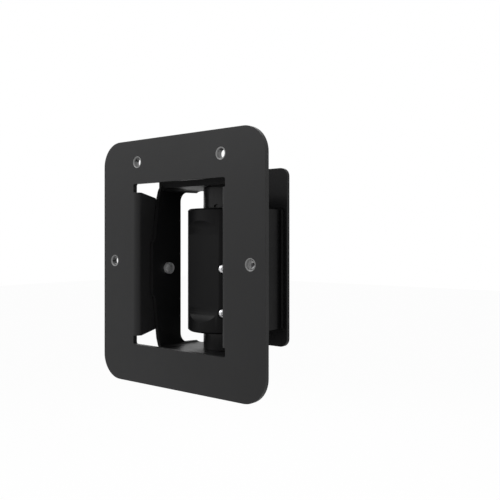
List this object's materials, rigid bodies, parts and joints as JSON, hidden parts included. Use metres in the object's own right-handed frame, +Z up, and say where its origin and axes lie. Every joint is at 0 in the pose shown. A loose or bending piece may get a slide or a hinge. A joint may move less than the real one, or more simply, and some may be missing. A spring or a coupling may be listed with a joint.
{
  "type": "terminal wall mount bracket",
  "caption": "Wall bracket for a small terminal: a folded wall plate with a window, a cradle that tilts between its ears, and a cast knuckle that swivels a front plate on a vertical bolt.",
  "frame": {"origin": "centre of the wall plate's back face, which lies on the wall, midway between the two middle fixing holes", "axes": "+X along the wall to the right seen from behind, +Y away from the wall towards the terminal, +Z up"},
  "size_m": [0.109, 0.0601, 0.125],
  "materials": {
    "black_sheet": "fine satin powder coat on folded steel sheet",
    "black_casting": "black coat on die-cast alloy",
    "black_post": "black coat on turned alloy",
    "zinc_steel": "bright zinc plate",
    "spring_steel": "dark oiled spring steel",
    "washer_plastic": "pale slippery plastic",
    "ring_plastic": "dark slippery plastic",
    "sleeve_brass": "plain bearing metal"
  },
  "bodies": {
    "wall": {"wall_plate": "black_sheet", "wall_bushes": "zinc_steel", "left_pivot_screw": "zinc_steel", "left_friction_washer": "washer_plastic", "left_disc_spring": "spring_steel", "left_pivot_nut": "zinc_steel", "right_pivot_screw": "zinc_steel", "right_friction_washer": "washer_plastic", "right_disc_spring": "spring_steel", "right_pivot_nut": "zinc_steel"},
    "cradle": {"tilt_cradle": "black_sheet", "upper_post": "black_post", "lower_post": "black_post", "upper_friction_ring": "ring_plastic", "lower_friction_ring": "ring_plastic", "swivel_bolt": "zinc_steel", "bolt_washer": "zinc_steel", "bolt_disc_spring": "spring_steel", "bolt_nut": "zinc_steel"},
    "head": {"swivel_knuckle": "black_casting", "upper_sleeve": "sleeve_brass", "lower_sleeve": "sleeve_brass", "clamp_screws": "zinc_steel", "front_plate": "black_sheet", "front_screws": "zinc_steel"}
  },
  "joints": [
    {"name": "tilt", "type": "hinge", "parent": "wall", "child": "cradle", "pos_m": [0, 0.0193, -0.004], "axis": [1, 0, 0], "range_deg": [-12, 12]},
    {"name": "swivel", "type": "hinge", "parent": "cradle", "child": "head", "pos_m": [0, 0.0354, 0], "axis": [0, 0, 1], "range_deg": [-30, 30]}
  ]
}
